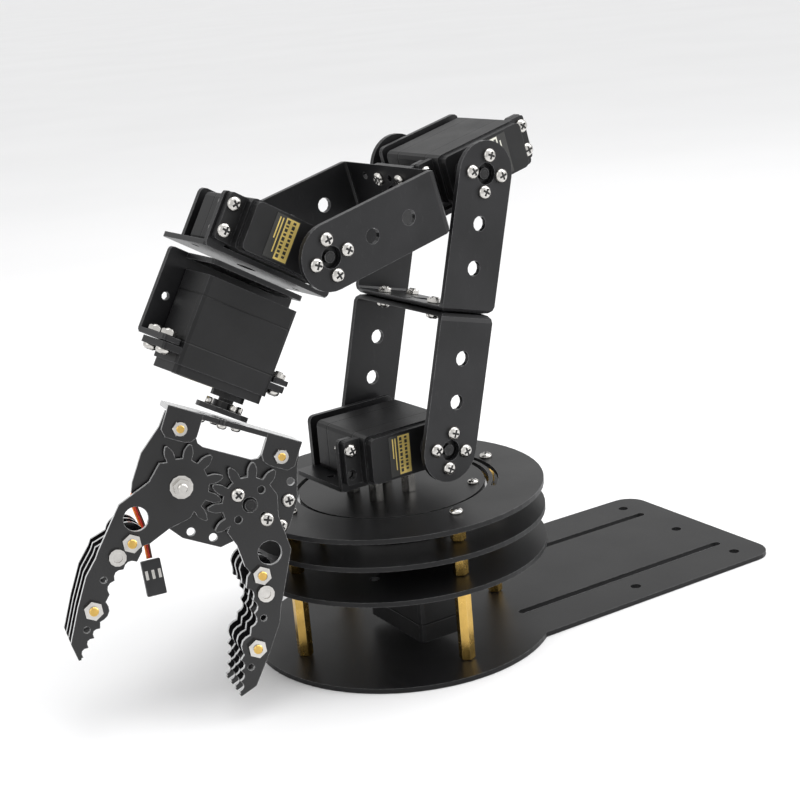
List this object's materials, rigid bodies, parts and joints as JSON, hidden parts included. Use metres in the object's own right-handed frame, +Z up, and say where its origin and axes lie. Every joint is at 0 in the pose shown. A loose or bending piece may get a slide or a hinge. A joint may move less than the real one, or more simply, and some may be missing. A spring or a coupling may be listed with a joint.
{
  "type": "articulated robot arm",
  "caption": "Desktop articulated robot arm of bent metal brackets and servo cases, on a round turntable with a long base tail, ending in a geared two-finger gripper.",
  "frame": {"origin": "centre of the round base disc, on its underside, where the arm stands", "axes": "+Z up; the base tail points roughly to -X and the gripper reaches to +X; the pitch hinges lie along Y"},
  "size_m": [0.3183, 0.1254, 0.208],
  "materials": {
    "base_plate_mat": "black anodised, satin",
    "base_servo_mat": "fine textured moulding",
    "base_servo_horn_mat": "black anodised",
    "elbow_bracket_mat": "black anodised",
    "elbow_horn_mat": "black anodised",
    "elbow_l_bracket_mat": "black anodised",
    "elbow_pivot_mat": "nickel plated",
    "elbow_servo_mat": "fine textured moulding",
    "forearm_u_bracket_mat": "black anodised",
    "gripper_base_plate_mat": "black anodised",
    "gripper_lead_mat": "satin insulation",
    "gripper_lead_plug_mat": "matte moulded",
    "gripper_mount_plate_mat": "black anodised",
    "gripper_servo_mat": "fine textured moulding",
    "gripper_servo_horn_mat": "black anodised",
    "left_finger_bolt_1_mat": "nickel plated",
    "left_finger_bolt_2_mat": "nickel plated",
    "left_finger_bolt_3_mat": "nickel plated",
    "left_finger_plate_2_mat": "black anodised",
    "left_finger_plate_3_mat": "black anodised",
    "left_finger_plate_4_mat": "black anodised",
    "left_gear_finger_mat": "black anodised",
    "left_pivot_bolt_mat": "nickel plated",
    "lower_plate_mat": "black anodised, satin",
    "lower_u_bracket_mat": "black anodised",
    "mid_plate_mat": "black anodised, satin",
    "right_finger_bolt_1_mat": "nickel plated",
    "right_finger_bolt_2_mat": "nickel plated",
    "right_finger_bolt_3_mat": "nickel plated",
    "right_finger_plate_2_mat": "black anodised",
    "right_finger_plate_3_mat": "black anodised",
    "right_finger_plate_4_mat": "black anodised",
    "right_gear_finger_mat": "black anodised",
    "roll_bracket_mat": "black anodised",
    "roll_horn_mat": "black anodised",
    "roll_servo_mat": "fine textured moulding",
    "shoulder_bracket_mat": "black anodised",
    "shoulder_horn_mat": "black anodised",
    "shoulder_pivot_mat": "nickel plated",
    "shoulder_servo_mat": "fine textured moulding",
    "shoulder_spacer_1_mat": "nickel plated",
    "shoulder_spacer_2_mat": "nickel plated",
    "shoulder_spacer_3_mat": "nickel plated",
    "shoulder_spacer_4_mat": "nickel plated",
    "standoff_1_mat": "bright machined hexagon",
    "standoff_2_mat": "bright machined hexagon",
    "standoff_3_mat": "bright machined hexagon",
    "standoff_4_mat": "bright machined hexagon",
    "top_plate_mat": "black anodised, satin",
    "turntable_disc_mat": "black anodised",
    "upper_post_1_mat": "machined hexagon, partly nickel plated",
    "upper_post_2_mat": "machined hexagon, partly nickel plated",
    "upper_post_3_mat": "machined hexagon, partly nickel plated",
    "upper_post_4_mat": "machined hexagon, partly nickel plated",
    "upper_u_bracket_mat": "black anodised",
    "wrist_bracket_mat": "black anodised",
    "wrist_horn_mat": "black anodised",
    "wrist_pivot_mat": "nickel plated",
    "wrist_servo_mat": "fine textured moulding",
    "yaw_bearing_race_mat": "ground steel"
  },
  "bodies": {
    "base": {"base_plate": "base_plate_mat", "standoff_1": "standoff_1_mat", "standoff_2": "standoff_2_mat", "standoff_3": "standoff_3_mat", "standoff_4": "standoff_4_mat", "upper_post_1": "upper_post_1_mat", "upper_post_2": "upper_post_2_mat", "upper_post_3": "upper_post_3_mat", "upper_post_4": "upper_post_4_mat", "lower_plate": "lower_plate_mat", "mid_plate": "mid_plate_mat", "top_plate": "top_plate_mat", "base_servo": "base_servo_mat", "yaw_bearing_race": "yaw_bearing_race_mat"},
    "turntable": {"base_servo_horn": "base_servo_horn_mat", "turntable_disc": "turntable_disc_mat", "shoulder_servo": "shoulder_servo_mat", "shoulder_bracket": "shoulder_bracket_mat", "shoulder_spacer_1": "shoulder_spacer_1_mat", "shoulder_spacer_2": "shoulder_spacer_2_mat", "shoulder_spacer_3": "shoulder_spacer_3_mat", "shoulder_spacer_4": "shoulder_spacer_4_mat"},
    "upper_arm": {"lower_u_bracket": "lower_u_bracket_mat", "upper_u_bracket": "upper_u_bracket_mat", "shoulder_horn": "shoulder_horn_mat", "shoulder_pivot": "shoulder_pivot_mat", "elbow_horn": "elbow_horn_mat", "elbow_pivot": "elbow_pivot_mat"},
    "forearm": {"elbow_servo": "elbow_servo_mat", "elbow_bracket": "elbow_bracket_mat", "elbow_l_bracket": "elbow_l_bracket_mat", "forearm_u_bracket": "forearm_u_bracket_mat", "wrist_horn": "wrist_horn_mat", "wrist_pivot": "wrist_pivot_mat"},
    "wrist": {"wrist_servo": "wrist_servo_mat", "wrist_bracket": "wrist_bracket_mat", "roll_bracket": "roll_bracket_mat", "roll_servo": "roll_servo_mat"},
    "gripper": {"roll_horn": "roll_horn_mat", "gripper_mount_plate": "gripper_mount_plate_mat", "gripper_base_plate": "gripper_base_plate_mat", "gripper_servo": "gripper_servo_mat", "left_pivot_bolt": "left_pivot_bolt_mat", "gripper_lead": "gripper_lead_mat", "gripper_lead_plug": "gripper_lead_plug_mat"},
    "right_jaw": {"right_gear_finger": "right_gear_finger_mat", "right_finger_plate_2": "right_finger_plate_2_mat", "right_finger_plate_3": "right_finger_plate_3_mat", "right_finger_plate_4": "right_finger_plate_4_mat", "right_finger_bolt_1": "right_finger_bolt_1_mat", "right_finger_bolt_2": "right_finger_bolt_2_mat", "right_finger_bolt_3": "right_finger_bolt_3_mat", "gripper_servo_horn": "gripper_servo_horn_mat"},
    "left_jaw": {"left_gear_finger": "left_gear_finger_mat", "left_finger_plate_2": "left_finger_plate_2_mat", "left_finger_plate_3": "left_finger_plate_3_mat", "left_finger_plate_4": "left_finger_plate_4_mat", "left_finger_bolt_1": "left_finger_bolt_1_mat", "left_finger_bolt_2": "left_finger_bolt_2_mat", "left_finger_bolt_3": "left_finger_bolt_3_mat"}
  },
  "joints": [
    {"name": "base_yaw", "type": "hinge", "parent": "base", "child": "turntable", "pos_m": [0, 0, 0.0624], "axis": [0, 0, 1], "range_deg": [-90, 90]},
    {"name": "shoulder_pitch", "type": "hinge", "parent": "turntable", "child": "upper_arm", "pos_m": [-0.0028, 0.0094, 0.08607], "axis": [0, 1, 0], "range_deg": [-50, 0]},
    {"name": "elbow_pitch", "type": "hinge", "parent": "upper_arm", "child": "forearm", "pos_m": [-0.02944, 0.0094, 0.19042], "axis": [0, 1, 0], "range_deg": [-50, 0]},
    {"name": "wrist_pitch", "type": "hinge", "parent": "forearm", "child": "wrist", "pos_m": [0.04322, 0.0094, 0.17099], "axis": [0, 1, 0], "range_deg": [-50, 0]},
    {"name": "wrist_roll", "type": "hinge", "parent": "wrist", "child": "gripper", "pos_m": [0.07921, 0.00864, 0.11425], "axis": [0.5141, 0, -0.8577], "range_deg": [-90, 0]},
    {"name": "jaw_right", "type": "hinge", "parent": "gripper", "child": "right_jaw", "pos_m": [0.07552, 0.01293, 0.08034], "axis": [0.2865, 0.9477, 0.1409], "range_deg": [-22, 4]},
    {"name": "jaw_left", "type": "hinge", "parent": "gripper", "child": "left_jaw", "pos_m": [0.09834, 0.00436, 0.09156], "axis": [0.2865, 0.9477, 0.1409], "range_deg": [-4, 22]}
  ],
  "couplings": [
    {"joint": "jaw_left", "follows": "jaw_right", "ratio": -1}
  ]
}
